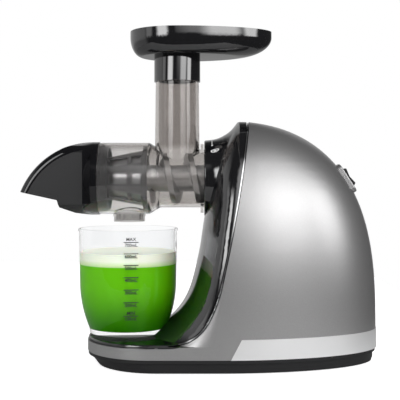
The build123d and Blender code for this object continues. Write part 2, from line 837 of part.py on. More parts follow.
def egg(inset, share, z):
    """Plan of the hopper at height z: blunt at the chute, pointed at the other end."""
    left = hopper_left - inset - (hopper_round_left - inset) * share
    right = hopper_right - inset - (hopper_round_right - inset) * share
    breadth = hopper_half_width - inset - (hopper_round_side - inset) * share
    return Pos(chute_x, 0, z) * make_face(
        [
            EllipticalCenterArc((0, 0), right, breadth, start_angle=-90, arc_size=180),
            EllipticalCenterArc((0, 0), left, breadth, start_angle=90, arc_size=180),
        ]
    )


def hopper_form(inset, top):
    """Bowl whose sides curve in to a flat floor, with an upright rim above it."""
    rim_foot = hopper_floor_z + hopper_bowl
    wires = []
    for angle in (0, 15, 30, 45, 60, 75, 90):
        level = rim_foot - (hopper_bowl - inset) * cos(radians(angle))
        wires.append(egg(inset, 1 - sin(radians(angle)), level).wires()[0])
    return Solid.make_loft(wires) + extrude(egg(inset, 0, rim_foot), amount=top - rim_foot)


def make_hopper_tray():
    body = hopper_form(0, hopper_rim_z) - hopper_form(hopper_wall, hopper_rim_z + 1)
    body += z_cylinder(sleeve_r, sleeve_z, hopper_floor_z + 1, chute_x)
    throat = chute_neck_r - chute_wall
    body -= z_cylinder(chute_neck_r + sleeve_play, sleeve_z - 1, chute_top_z + fit, chute_x)
    body -= z_cylinder(throat, sleeve_z, hopper_rim_z, chute_x)
    return body


def cup_side(grow, floor):
    """Half outline of the cup: foot, curved heel and nearly straight side."""
    heel = Vector(cup_foot_r + 0.8 - grow, cup_foot_top + grow)
    waist = Vector(cup_waist_r - grow, cup_waist_z)
    rim = Vector(cup_rim_r - cup_bead - grow, cup_rim_z)
    side = Line(rim, waist)
    curve = TangentArc(waist, heel, tangent=waist - rim)
    return [
        side, curve, Line(heel, (cup_foot_r - grow, floor)),
        Line((cup_foot_r - grow, floor), (0, floor)),
        Line((0, floor), (0, cup_rim_z)), Line((0, cup_rim_z), rim),
    ]


def make_cup():
    foot = tray_z + cup_gap
    body = revolve(xz_face(cup_side(0, foot)), Axis.Z)
    body += z_cylinder(cup_rim_r, cup_rim_z - 2.4, cup_rim_z)
    inside = revolve(xz_face(cup_side(cup_wall, foot + cup_floor)), Axis.Z)
    body -= inside
    return Pos(cup_x, 0, 0) * body


# ---------------------------------------------------------------- gears
def involute(base_r, t):
    return (base_r * (cos(t) + t * sin(t)), base_r * (sin(t) - t * cos(t)))


def gear_outline(teeth, module):
    """Spur gear outline with involute flanks drawn by four points each."""
    pitch_r = teeth * module / 2
    base_r = pitch_r * cos(radians(gear_pressure))
    tip_r = pitch_r + gear_addendum * module
    root_r = pitch_r - gear_dedendum * module
    start_r = max(base_r, root_r)
    half = pi / (2 * teeth) - gear_backlash / (2 * pitch_r)
    tan_p = tan(radians(gear_pressure))
    shift = half + tan_p - radians(gear_pressure)
    flank = []
    for step in range(4):
        r = start_r + (tip_r - start_r) * step / 3
        t = sqrt(max(0.0, (r / base_r) ** 2 - 1))
        x, y = involute(base_r, t)
        flank.append((sqrt(x * x + y * y), shift - atan2(y, x)))
    points = []
    for index in range(teeth):
        middle = 2 * pi * index / teeth
        rising = [(root_r, -flank[0][1])] + [(r, -a) for r, a in flank]
        falling = [(r, a) for r, a in reversed(flank)] + [(root_r, flank[0][1])]
        for r, a in rising + falling:
            points.append((r * cos(middle + a), r * sin(middle + a)))
    clean = [p for i, p in enumerate(points) if abs(complex(*p) - complex(*points[i - 1])) > 1e-4]
    return make_face(Polyline(*clean, close=True))


def make_gear(teeth, module, x_range, z, bore_r, web=0.0):
    body = along_x(gear_outline(teeth, module), *x_range, z=z)
    body -= x_cylinder(bore_r, x_range[0] - 1, x_range[1] + 1, 0, z)
    if web:
        pitch_r = teeth * module / 2
        groove = x_cylinder(pitch_r - 4 * module, x_range[0] - 1, x_range[0] + web, 0, z)
        groove -= x_cylinder(bore_r + 4, x_range[0] - 2, x_range[1] + 2, 0, z)
        body -= groove
    return body


def make_output_gear():
    return make_gear(wheel_teeth, module_out, out_gear_x, axis_z, output_shaft_r, out_gear_web)


def make_layshaft_gear():
    return make_gear(wheel_teeth, module_in, in_gear_x, layshaft_z, layshaft_r, in_gear_web)


def make_layshaft_pinion():
    return make_gear(pinion_teeth, module_out, lay_pinion_x, layshaft_z, layshaft_r)


def make_motor_pinion():
    return make_gear(pinion_teeth, module_in, motor_pinion_x, motor_z, motor_shaft_r)


def make_layshaft():
    return x_cylinder(layshaft_r, lay_bush_front[0] + 0.5, lay_bush_rear[1] - 0.5, 0, layshaft_z)


def case_outline(shrink):
    """Hull round the three axles of the gearbox, drawn as (y, z) about the drum axis."""
    wheel_out = module_out * (wheel_teeth / 2 + gear_addendum) + case_play + case_wall - shrink
    wheel_in = module_in * (wheel_teeth / 2 + gear_addendum) + case_play + case_wall - shrink
    circles = Circle(wheel_out)
    circles += Pos(0, layshaft_z - axis_z) * Circle(wheel_in)
    circles += Pos(0, motor_z - axis_z) * Circle(case_foot_r - shrink)
    return make_hull(circles.edges())


def case_screw_spots():
    spots = []
    for angle in (45, 135, 225, 315):
        spots.append((post_circle * cos(radians(angle)), axis_z + post_circle * sin(radians(angle))))
    return spots


def make_gearbox_case():
    body = along_x(case_outline(0), *case_x)
    body -= along_x(case_outline(case_wall), case_x[0] - 1, case_back - case_wall)
    body += x_cylinder(bush_r_out + 2, out_bush_rear[0], case_back)
    body -= x_cylinder(bush_r_out, out_bush_rear[0] - 1, case_back - 0.5)
    body -= x_cylinder(layshaft_r + bush_wall, lay_bush_rear[0] - 1, case_back + 1, 0, layshaft_z)
    body -= x_cylinder(motor_shaft_r + 2, case_back - case_wall - 1, case_back + 1, 0, motor_z)
    return body


def make_gearbox_cover():
    body = along_x(case_outline(0), cover_x, case_x[0])
    lay_r = layshaft_r + bush_wall
    body += x_cylinder(lay_r + 2, case_x[0] - 0.5, lay_bush_front[1], 0, layshaft_z)
    body -= x_cylinder(lay_r, lay_bush_front[0], lay_bush_front[1] + 1, 0, layshaft_z)
    body += x_cylinder(bush_r_out + 2, case_x[0] - 0.5, out_bush_front[1])
    body -= x_cylinder(bush_r_out, cover_x - 1, out_bush_front[1] + 1)
    for y, z in case_screw_spots():
        body -= x_cylinder(screw_r, cover_x - 1, case_x[0] + 1, y, z)
    return body


def make_gearbox_screws():
    """Screws that hold the gearbox cover on the posts of the front panel."""
    screws = []
    for y, z in case_screw_spots():
        screw = x_cylinder(screw_r, socket_back + 2, case_x[0], y, z)
        screw += x_cylinder(screw_head_r, case_x[0], case_x[0] + screw_head, y, z)
        screws.append(screw)
    return Part() + screws


def bush(r_in, r_out, x_range, z):
    return x_cylinder(r_out, *x_range, 0, z) - x_cylinder(r_in, x_range[0] - 1, x_range[1] + 1, 0, z)


def make_output_bushes():
    inner = output_shaft_r + shaft_play
    return Part() + [
        bush(inner, bush_r_out, out_bush_front, axis_z), bush(inner, bush_r_out, out_bush_rear, axis_z)
    ]


def make_layshaft_bushes():
    inner = layshaft_r + shaft_play
    outer = layshaft_r + bush_wall
    return Part() + [
        bush(inner, outer, lay_bush_front, layshaft_z), bush(inner, outer, lay_bush_rear, layshaft_z)
    ]


def make_output_shaft():
    body = x_cylinder(output_shaft_r, *output_shaft_x)
    return body - hex_bar(hex_flats + hex_play, output_shaft_x[0] - 1, hex_out_x + 1)


def make_shaft_seal():
    return x_cylinder(seal_r, socket_floor_x + 0.4, socket_back) - x_cylinder(
        output_shaft_r + shaft_play, socket_floor_x - 1, socket_back + 1
    )


# ---------------------------------------------------------------- motor
def make_stator_core():
    body = x_cylinder(motor_r, *stator_x, 0, motor_z)
    body -= x_cylinder(motor_bore_r, stator_x[0] - 1, stator_x[1] + 1, 0, motor_z)
    for index in range(slot_count):
        slot = box(stator_x[0] - 1, stator_x[1] + 1, -slot_width / 2, slot_width / 2,
                   motor_bore_r + 2, slot_depth_r)
        body -= Pos(0, 0, motor_z) * Rot(index * 360 / slot_count, 0, 0) * slot
    return body


def make_stator_coils():
    """Copper in the slots, joined by a ring of end turns at each side."""
    radii = (motor_bore_r + 2.5, slot_depth_r - 0.5)
    body = bush(*radii, (stator_x[0] - coil_reach, stator_x[0]), motor_z)
    body += bush(*radii, (stator_x[1], stator_x[1] + coil_reach), motor_z)
    for index in range(slot_count):
        bar = box(stator_x[0] - 1, stator_x[1] + 1, -slot_width / 2 + 0.2, slot_width / 2 - 0.2,
                  motor_bore_r + 3, slot_depth_r - 1)
        body += Pos(0, 0, motor_z) * Rot(index * 360 / slot_count, 0, 0) * bar
    return body


def motor_bell(face_x, seat_x, bearing_x):
    """Cup-shaped end bracket with a bearing boss and four windows."""
    inward = 1 if seat_x > face_x else -1
    low, high = sorted((face_x, seat_x))
    body = x_cylinder(motor_r, low, high, 0, motor_z)
    disc_end = face_x + inward * bracket_thick
    low, high = sorted((disc_end, seat_x + inward))
    body -= x_cylinder(motor_r - bracket_thick, low, high, 0, motor_z)
    low, high = sorted((disc_end - inward * 0.5, bearing_x))
    body += x_cylinder(bearing_r + 2.5, low, high, 0, motor_z)
    low, high = sorted((disc_end, bearing_x + inward))
    body -= x_cylinder(bearing_r, low, high, 0, motor_z)
    low, high = sorted((face_x - inward, seat_x + inward))
    body -= x_cylinder(motor_shaft_r + 1, low, high, 0, motor_z)
    for index in range(4):
        low, high = sorted((disc_end + inward * 2, seat_x - inward * 3))
        window = box(low, high, -9, 9, motor_r - bracket_thick - 2, motor_r + 2)
        body -= Pos(0, 0, motor_z) * Rot(45 + index * 90, 0, 0) * window
    return body


def make_motor_front_bell():
    return motor_bell(case_back, stator_x[0], case_back + bracket_thick + bearing_width)


def make_motor_rear_bell():
    return motor_bell(motor_rear_x, stator_x[1], motor_rear_x - bracket_thick - bearing_width)


def make_motor_bearings():
    inner = motor_shaft_r + shaft_play
    front = case_back + bracket_thick
    rear = motor_rear_x - bracket_thick
    return Part() + [
        bush(inner, bearing_r, (front, front + bearing_width), motor_z),
        bush(inner, bearing_r, (rear - bearing_width, rear), motor_z),
    ]


def make_rotor_core():
    radius = motor_bore_r - motor_gap
    body = x_cylinder(radius, stator_x[0] + 1, stator_x[1] - 1, 0, motor_z)
    body += x_cylinder(radius - 3, stator_x[0] - 3, stator_x[1] + 3, 0, motor_z)
    return body - x_cylinder(motor_shaft_r, stator_x[0] - 5, stator_x[1] + 5, 0, motor_z)


def make_motor_shaft():
    return x_cylinder(motor_shaft_r, in_gear_x[0] - 1, fan_x[1] + 2, 0, motor_z)


def make_cooling_fan():
    body = x_cylinder(fan_r, fan_x[0], fan_x[0] + 1.6, 0, motor_z)
    body += x_cylinder(motor_shaft_r + 4, *fan_x, 0, motor_z)
    for index in range(fan_blades):
        blade = box(fan_x[0] + 1, fan_x[1], -0.9, 0.9, motor_shaft_r + 3, fan_r)
        body += Pos(0, 0, motor_z) * Rot(index * 360 / fan_blades, 0, 0) * blade
    return body - x_cylinder(motor_shaft_r, fan_x[0] - 1, fan_x[1] + 1, 0, motor_z)


def make_motor_cradle():
    """Folded steel saddle between the base plate and the stator."""
    low, high = stator_x[0] + 4, stator_x[1] - 4
    body = box(low, high, -cradle_half, cradle_half, floor_top, floor_top + cradle_plate)
    reach = motor_z - floor_top - cradle_drop
    outline = make_face(
        Polyline((-cradle_half, 0), (cradle_half, 0), (cradle_top_half, reach),
                 (-cradle_top_half, reach), close=True)
    )
    for x in (low, high - cradle_plate):
        web = along_x(outline, x, x + cradle_plate, z=floor_top)
        body += web - x_cylinder(cradle_hole_r, x - 1, x + cradle_plate + 1, 0, floor_top + cradle_hole_z)
    return body - x_cylinder(motor_r, low - 1, high + 1, 0, motor_z)


# ---------------------------------------------------------------- switch and electrics
def switch_frame():
    """Frame on the rear slope: x up the slope, y across, z straight out."""
    span = 8.0
    low, high = rear_x(switch_z - span), rear_x(switch_z + span)
    along = Vector(high - low, 0, 2 * span).normalized()
    outward = Vector(along.Z, 0, -along.X)
    origin = Vector((low + high) / 2, 0, switch_z)
    return Plane(origin, x_dir=along, z_dir=outward).location


def make_switch_bezel():
    place = switch_frame()
    flange = extrude(RectangleRounded(*switch_flange, 6), amount=switch_sink + switch_proud)
    flange = Pos(0, 0, -switch_sink) * flange
    flange = fillet(flange.faces().sort_by(Axis.Z)[-1].edges(), 1.2)
    body = flange + Pos(0, 0, -switch_sink - switch_depth / 2) * Box(*switch_body, switch_depth)
    inner_depth = rocker_r + 2
    opening = (2 * (rocker_r + rocker_play), rocker_width + 2 * rocker_play)
    top = switch_proud + 1
    body -= Pos(0, 0, (top - inner_depth) / 2) * Box(*opening, top + inner_depth)
    return place * body


def make_switch_rocker():
    place = switch_frame()
    body = Rot(90, 0, 0) * Cylinder(rocker_r, rocker_width)
    reach = 2 * rocker_r
    slope = rocker_rise + reach * tan(radians(rocker_tilt))
    valley = Polyline((-reach, slope), (0, rocker_rise), (reach, slope), (0, 2 * slope), close=True)
    body -= extrude(Pos(0, reach, 0) * xz_face(valley), amount=2 * reach)
    body -= Pos(0, 0, -rocker_r - 2) * Box(2 * reach, 2 * reach, 10)
    return place * Pos(0, 0, -rocker_pivot) * body


def make_switch_terminals():
    place = switch_frame()
    blades = []
    depth = switch_sink + switch_depth + terminal_size[2] / 2
    for x in terminal_spots:
        blades.append(place * Pos(x, 0, -depth) * Box(*terminal_size))
    return Part() + blades


def board_posts():
    x0, x1, y0, y1 = board_box
    return [(x, y) for x in (x0 + 4, x1 - 4) for y in (y0 + 4, y1 - 4)]


def make_circuit_board():
    x0, x1, y0, y1 = board_box
    return box(x0, x1, y0, y1, board_z, board_z + board_thick)


def make_run_capacitor():
    x0, x1 = capacitor_x
    middle = floor_top + capacitor_r + 1.5
    body = x_cylinder(capacitor_r, x0, x1, capacitor_y, middle)
    return body + box(x0 + 8, x1 - 8, capacitor_y - 9, capacitor_y + 9, floor_top, middle)


def grommet_in():
    """Inner end of the grommet's neck."""
    return body_rear - base_inset - base_taper - floor_thick - grommet_inside


def make_cord_grommet():
    outer = grommet_face + grommet_rim
    return turned(
        [(grommet_in(), grommet_bore_r), (grommet_in(), grommet_neck_r),
         (grommet_face, grommet_neck_r), (grommet_face, grommet_rim_r),
         (outer, grommet_rim_r), (outer, grommet_bore_r)],
        grommet_z,
    )


NODES = {
    "shell": make_shell,
    "front_panel": make_front_panel,
    "seam_trim": make_seam_trim,
    "rear_band": make_rear_band,
    "base_plate": make_base_plate,
    "feet": make_feet,
    "base_screws": make_base_screws,
    "drum": make_drum,
    "drum_seal": make_drum_seal,
    "strainer_frame": make_strainer_frame,
    "strainer_screen": make_strainer_screen,
    "auger": make_auger,
    "auger_hex": make_auger_hex,
    "auger_seal": make_auger_seal,
    "end_cap": make_end_cap,
    "hopper_tray": make_hopper_tray,
    "cup": make_cup,
    "gearbox_case": make_gearbox_case,
    "gearbox_cover": make_gearbox_cover,
    "gearbox_screws": make_gearbox_screws,
    "output_gear": make_output_gear,
    "output_shaft": make_output_shaft,
    "output_bushes": make_output_bushes,
    "shaft_seal": make_shaft_seal,
    "layshaft": make_layshaft,
    "layshaft_pinion": make_layshaft_pinion,
    "layshaft_gear": make_layshaft_gear,
    "layshaft_bushes": make_layshaft_bushes,
    "motor_pinion": make_motor_pinion,
    "motor_shaft": make_motor_shaft,
    "rotor_core": make_rotor_core,
    "cooling_fan": make_cooling_fan,
    "stator_core": make_stator_core,
    "stator_coils": make_stator_coils,
    "motor_front_bell": make_motor_front_bell,
    "motor_rear_bell": make_motor_rear_bell,
    "motor_bearings": make_motor_bearings,
    "motor_cradle": make_motor_cradle,
    "switch_bezel": make_switch_bezel,
    "switch_rocker": make_switch_rocker,
    "switch_terminals": make_switch_terminals,
    "circuit_board": make_circuit_board,
    "run_capacitor": make_run_capacitor,
    "cord_grommet": make_cord_grommet,
}

os.makedirs("parts", exist_ok=True)
for name, maker in NODES.items():
    solid = maker()
    solid.label = name
    export_step(solid, f"parts/{name}.step")
    print(name, round(solid.volume), len(solid.solids()))
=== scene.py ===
# %% [markdown]
# # A cold press juicer
# A horizontal slow juicer: a grey motor housing with a gloss black front, a clear drum with an auger in a
# strainer, a pulp nose, a feed tray on a chute, and a cup of green juice. The moulded shapes come from the
# CAD frame. Blender adds the finishes, the juice and foam, the printed scale and the marks on the collar.

# %% Load the frame
from math import cos, pi, radians, sin, sqrt

import bmesh
import bpy
from mathutils import Matrix, Vector


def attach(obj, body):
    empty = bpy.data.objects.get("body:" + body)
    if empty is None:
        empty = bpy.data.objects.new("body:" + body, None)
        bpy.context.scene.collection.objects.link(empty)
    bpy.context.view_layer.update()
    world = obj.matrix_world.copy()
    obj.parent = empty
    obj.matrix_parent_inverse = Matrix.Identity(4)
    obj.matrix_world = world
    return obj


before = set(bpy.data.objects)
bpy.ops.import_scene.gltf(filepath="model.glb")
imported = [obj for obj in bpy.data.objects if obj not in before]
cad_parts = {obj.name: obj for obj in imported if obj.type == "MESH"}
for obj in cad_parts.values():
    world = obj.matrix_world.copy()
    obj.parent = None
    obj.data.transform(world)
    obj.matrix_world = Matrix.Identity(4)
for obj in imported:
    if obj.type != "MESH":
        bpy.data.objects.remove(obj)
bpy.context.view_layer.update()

# %% [markdown]
# ## Camera
# The juicer is seen square from the side, a little above the table. A turned camera would make its uprights
# lean, so this one stays level, and a small shift moves the picture down, as a shift lens does. The numbers
# below are the scale at the mirror plane, the distance counted in picture dots and the row of the horizon.

# %% Camera
picture_side = 400
dot = 0.001092
distance_dots = 894.0
horizon_row = 173.0
eye_height = 0.2026
sensor_width = 36.0

camera_data = bpy.data.cameras.new("side_camera")
camera_data.sensor_width = sensor_width
camera_data.lens = distance_dots * sensor_width / picture_side
camera_data.shift_y = (horizon_row - picture_side / 2) / picture_side
camera = bpy.data.objects.new("side_camera", camera_data)
camera.location = (0.0, -distance_dots * dot, eye_height)
camera.rotation_euler = (radians(90), 0.0, 0.0)
bpy.context.scene.collection.objects.link(camera)
bpy.context.scene.camera = camera
print("lens", round(camera_data.lens, 1), "mm at", round(distance_dots * dot, 3), "m")

# %% [markdown]
# ## Node helpers
# A finish is a Principled shader with a few nodes in front of it. Wiring each one by hand would repeat the
# same lines, so small helpers keep each finish readable: they make the material, add and join nodes, split a
# place into X, Y and Z, map a range and do sums. Room and lamps have node trees too, so most of them serve
# there as well.

# %% Node helpers


def new_finish(name, color, roughness, **sockets):
    """A material with a Principled shader; sockets are set by their names with _ for a space."""
    finish = bpy.data.materials.new(name)
    finish.use_nodes = True
    shader = finish.node_tree.nodes["Principled BSDF"]
    shader.inputs["Base Color"].default_value = (*color, 1.0)
    shader.inputs["Roughness"].default_value = roughness
    for socket, value in sockets.items():
        shader.inputs[socket.replace("_", " ")].default_value = value
    print("finish", name)
    return finish


def shader_of(finish):
    return finish.node_tree.nodes["Principled BSDF"]


def add_node(owner, kind, **settings):
    node = owner.node_tree.nodes.new(kind)
    for key, value in settings.items():
        setattr(node, key, value)
    return node


def join(owner, source, target):
    owner.node_tree.links.new(source, target)


def axes_of(owner, vector):
    """The X, Y and Z sockets of a vector socket."""
    parts = add_node(owner, "ShaderNodeSeparateXYZ")
    join(owner, vector, parts.inputs["Vector"])
    return parts.outputs


def object_point(finish):
    return add_node(finish, "ShaderNodeTexCoord").outputs["Object"]


def object_axes(finish):
    return axes_of(finish, object_point(finish))


def ramp(owner, value, low, high, out_low=0.0, out_high=1.0, smooth=False):
    node = add_node(owner, "ShaderNodeMapRange")
    node.interpolation_type = "SMOOTHSTEP" if smooth else "LINEAR"
    for socket, number in zip(("From Min", "From Max", "To Min", "To Max"), (low, high, out_low, out_high)):
        node.inputs[socket].default_value = number
    join(owner, value, node.inputs["Value"])
    return node.outputs["Result"]


def calc(owner, operation, first, second=0.0):
    """Math node; either input is a socket or a number."""
    node = add_node(owner, "ShaderNodeMath", operation=operation)
    for index, value in enumerate((first, second)):
        if isinstance(value, (int, float)):
            node.inputs[index].default_value = value
        else:
            join(owner, value, node.inputs[index])
    return node.outputs["Value"]


print("node helpers ready")

# %% [markdown]
# ## Texture helpers
# Even a plain moulding has a grain, and a surface without one looks like a drawing. Noise on object
# coordinates gives that grain, because it stays put when a piece moves. It feeds a bump, a roughness or a
# colour, and it can be stretched along an axis for brushed metal.

# %% Texture helpers
noise_span = (0.3, 0.7)


def noise(finish, scale, detail=3.0, stretch=(1.0, 1.0, 1.0)):
    """Noise on object coordinates, stretched along an axis by a small factor there."""
    mapping = add_node(finish, "ShaderNodeMapping")
    mapping.inputs["Scale"].default_value = stretch
    join(finish, object_point(finish), mapping.inputs["Vector"])
    texture = add_node(finish, "ShaderNodeTexNoise")
    texture.inputs["Scale"].default_value = scale
    texture.inputs["Detail"].default_value = detail
    join(finish, mapping.outputs["Vector"], texture.inputs["Vector"])
    return texture.outputs["Fac"]


def blend_colors(finish, factor, first, second):
    """Colour between two by a factor socket; each is a colour or a colour socket."""
    node = add_node(finish, "ShaderNodeMix", data_type="RGBA")
    colors = [socket for socket in node.inputs if socket.type == "RGBA"]
    for socket, color in zip(colors, (first, second)):
        if isinstance(color, tuple):
            socket.default_value = (*color, 1.0)
        else:
            join(finish, color, socket)
    join(finish, factor, node.inputs["Factor"])
    return [socket for socket in node.outputs if socket.type == "RGBA"][0]


def paint(finish, factor, first, second):
    """Base colour between two by a factor socket."""
    join(finish, blend_colors(finish, factor, first, second), shader_of(finish).inputs["Base Color"])


def bump(finish, height, distance, strength=1.0):
    node = add_node(finish, "ShaderNodeBump")
    node.inputs["Distance"].default_value = distance
    node.inputs["Strength"].default_value = strength
    join(finish, height, node.inputs["Height"])
    join(finish, node.outputs["Normal"], shader_of(finish).inputs["Normal"])


def tone(finish, height, low, high):
    """Roughness that wanders between two values with a texture."""
    join(finish, ramp(finish, height, *noise_span, low, high), shader_of(finish).inputs["Roughness"])


print("texture helpers ready")

# %% [markdown]
# ## Finishes of the housing
# The shell wears a metallic grey lacquer. A plain grey would look like dull plastic and a pure metal like
# bare steel, so the base is mostly metallic, with fine flakes that brighten and darken it by a hair. Gloss
# black plastic is nearly black and nearly a mirror, and what one sees of it is the room. The silver band
# has the same lacquer as the shell, only lighter, and the strip in the seam is plated.

# %% Housing finishes
flake_dark = (0.34, 0.337, 0.339)
flake_light = (0.40, 0.397, 0.399)

grey_lacquer = new_finish("grey_lacquer", (0.37, 0.367, 0.369), 0.38, Metallic=0.8, Coat_Weight=0.12,
                          Coat_Roughness=0.12)
flakes = noise(grey_lacquer, 2600.0, 2.0)
paint(grey_lacquer, ramp(grey_lacquer, flakes, 0.35, 0.65), flake_dark, flake_light)
bump(grey_lacquer, noise(grey_lacquer, 900.0), 0.00001, 0.3)

gloss_black = new_finish("gloss_black", (0.006, 0.006, 0.007), 0.05, IOR=1.6, Specular_IOR_Level=0.9)
tone(gloss_black, noise(gloss_black, 60.0), 0.04, 0.075)

silver_lacquer = new_finish("silver_lacquer", (0.90, 0.90, 0.905), 0.34, Metallic=0.75)
bump(silver_lacquer, noise(silver_lacquer, 1400.0), 0.00001, 0.3)

plated = new_finish("plated", (0.82, 0.82, 0.83), 0.12, Metallic=1.0)
tone(plated, noise(plated, 300.0), 0.08, 0.18)

base_plastic = new_finish("base_plastic", (0.012, 0.012, 0.013), 0.5, Specular_IOR_Level=0.3)
bump(base_plastic, noise(base_plastic, 2200.0), 0.00004, 0.5)

foot_rubber = new_finish("foot_rubber", (0.018, 0.018, 0.018), 0.75)
bump(foot_rubber, noise(foot_rubber, 1500.0), 0.00005, 0.6)

# %% [markdown]
# ## The clear drum
# Drum, spout, tube and chute are one smoky clear moulding. Its walls aren't equally thick, and light passes
# four skins of it, so thick parts look darker. Glass that takes colour by its depth needs a volume, which is
# slow, so the colour of the surface changes with the place instead: palest in the drum, darker in the tube
# behind it, and darkest in the chute and the spout.

# %% Smoky clear plastic
spout_top = (0.156, 0.163)
tube_start = (-0.062, -0.052)
chute_start = (0.226, 0.236)
spout_smoke = (0.52, 0.51, 0.50)
drum_smoke = (0.75, 0.74, 0.735)
tube_smoke = (0.62, 0.60, 0.585)
chute_smoke = (0.46, 0.435, 0.42)

smoky_clear = new_finish("smoky_clear", chute_smoke, 0.03, Transmission_Weight=1.0, IOR=1.45)
tone(smoky_clear, noise(smoky_clear, 40.0), 0.015, 0.05)
smoky_place = object_axes(smoky_clear)
drum_part = blend_colors(smoky_clear, ramp(smoky_clear, smoky_place["Z"], *spout_top, smooth=True),
                         spout_smoke, drum_smoke)
tube_part = blend_colors(smoky_clear, ramp(smoky_clear, smoky_place["X"], *tube_start, smooth=True),
                         drum_part, tube_smoke)
paint(smoky_clear, ramp(smoky_clear, smoky_place["Z"], *chute_start, smooth=True), tube_part, chute_smoke)
print("smoky clear has", len(smoky_clear.node_tree.nodes), "nodes")

# %% [markdown]
# ## Strainer, auger, cup and seals
# The strainer is a darker smoke that lets half of the light through. The auger is a filled grey plastic
# with a dull metal sheen, and the seals are milky silicone. The cup is clear: its index of refraction is
# close to that of the juice, so the wall doesn't show as a thick pale rim.

# %% Finishes inside the drum, and the cup
strainer_smoke = new_finish("strainer_smoke", (0.22, 0.218, 0.22), 0.18, Transmission_Weight=0.5, IOR=1.45)
bump(strainer_smoke, noise(strainer_smoke, 150.0), 0.0001, 0.2)

auger_plastic = new_finish("auger_plastic", (0.50, 0.50, 0.505), 0.32, Metallic=0.6)
bump(auger_plastic, noise(auger_plastic, 700.0), 0.00003, 0.4)

clear_cup = new_finish("clear_cup", (0.97, 0.975, 0.98), 0.01, Transmission_Weight=1.0, IOR=1.33)
tone(clear_cup, noise(clear_cup, 30.0), 0.005, 0.02)

silicone = new_finish("silicone", (0.55, 0.54, 0.5), 0.5, Transmission_Weight=0.3)
bump(silicone, noise(silicone, 500.0), 0.00004, 0.4)

# %% [markdown]
# ## The strainer's screen
# A fine steel screen lies behind the windows of the strainer. Thousands of real holes would make a heavy
# mesh, so they are a pattern in the finish: two waves, one along the cone and one round it, multiplied.
# Light comes through the holes, so they are pale dots on dark steel.

# %% Screen with holes round the cone
axis_height = 0.1968
hole_rows = 58.0
hole_pitch = 0.0028
hole_edge = (0.15, 0.35)
steel_dark = (0.10, 0.10, 0.105)
hole_pale = (0.62, 0.62, 0.62)

screen_steel = new_finish("screen_steel", hole_pale, 0.3, Metallic=1.0)
screen_place = object_axes(screen_steel)
lift = calc(screen_steel, "SUBTRACT", screen_place["Z"], axis_height)
turn = calc(screen_steel, "ARCTAN2", screen_place["Y"], lift)
around = calc(screen_steel, "SINE", calc(screen_steel, "MULTIPLY", turn, hole_rows))
along = calc(screen_steel, "SINE", calc(screen_steel, "MULTIPLY", screen_place["X"], 2 * pi / hole_pitch))
dots = ramp(screen_steel, calc(screen_steel, "MULTIPLY", around, along), *hole_edge)
paint(screen_steel, dots, steel_dark, hole_pale)
bump(screen_steel, dots, 0.0001, -0.3)
print("screen:", int(hole_rows), "waves round, one every", hole_pitch * 1000, "mm along")

# %% [markdown]
# ## The nose
# The nose is one moulding with two surfaces: sunk satin cheeks, and a polished band that runs round the
# top curve and the rear. Two materials would need the faces sorted, but the band follows an arc, so a mask
# on the distance from the arc's centre tells them apart in one material.

# %% Nose finish
arc_center_x = -0.1116
arc_center_z = 0.1499
band_start = 0.0782
rear_start = -0.125
mask_edge = 0.0002
satin_color, satin_rough = (0.014, 0.014, 0.015), 0.42
polished_color, polished_rough = (0.005, 0.005, 0.006), 0.07

nose_plastic = new_finish("nose_plastic", satin_color, satin_rough)
nose_place = object_axes(nose_plastic)
from_x = calc(nose_plastic, "SUBTRACT", nose_place["X"], arc_center_x)
from_z = calc(nose_plastic, "SUBTRACT", nose_place["Z"], arc_center_z)
spread = calc(nose_plastic, "ADD", calc(nose_plastic, "MULTIPLY", from_x, from_x),
              calc(nose_plastic, "MULTIPLY", from_z, from_z))
band = ramp(nose_plastic, calc(nose_plastic, "SQRT", spread), band_start - mask_edge, band_start + mask_edge)
rear = ramp(nose_plastic, nose_place["X"], rear_start - mask_edge, rear_start + mask_edge)
polish = calc(nose_plastic, "MAXIMUM", band, rear)
join(nose_plastic, ramp(nose_plastic, polish, 0.0, 1.0, satin_rough, polished_rough),
     shader_of(nose_plastic).inputs["Roughness"])
paint(nose_plastic, polish, satin_color, polished_color)
print("nose: polished beyond", band_start, "m from the arc's centre")

# %% [markdown]
# ## Finishes of the hidden drive
# Gears are natural acetal, shafts are ground steel, bushes are sintered bronze, and the cases are nylon and
# cast alloy. They show when the housing is taken away, so each gets its grain. Noise does for all of them:
# even on the castings, and stretched crosswise on ground steel, because grinding marks run round a shaft.

# %% Gears, shafts and castings
acetal = new_finish("acetal", (0.72, 0.7, 0.62), 0.4, Subsurface_Weight=0.1)
bump(acetal, noise(acetal, 600.0), 0.00003, 0.3)

ground_steel = new_finish("ground_steel", (0.56, 0.56, 0.57), 0.25, Metallic=1.0)
tone(ground_steel, noise(ground_steel, 900.0, 3.0, (1.0, 0.1, 0.1)), 0.18, 0.34)

zinc_steel = new_finish("zinc_steel", (0.6, 0.6, 0.62), 0.35, Metallic=1.0)
tone(zinc_steel, noise(zinc_steel, 700.0), 0.25, 0.45)

bronze = new_finish("bronze", (0.5, 0.34, 0.16), 0.4, Metallic=1.0)
bump(bronze, noise(bronze, 2500.0), 0.00005, 0.5)

case_nylon = new_finish("case_nylon", (0.06, 0.06, 0.062), 0.5)
bump(case_nylon, noise(case_nylon, 800.0), 0.00006, 0.5)

cast_alloy = new_finish("cast_alloy", (0.55, 0.55, 0.56), 0.45, Metallic=1.0)
bump(cast_alloy, noise(cast_alloy, 500.0), 0.0001, 0.5)

# %% [markdown]
# ## Finishes of the motor and the electrics
# The motor's core is a stack of steel sheets and its coils are wound copper. Real sheets and wires would be
# thousands of faces, so a wave texture in the bump draws the sheets, and a slanting, disturbed one draws
# the wires. The tracks of the board are a brick texture.

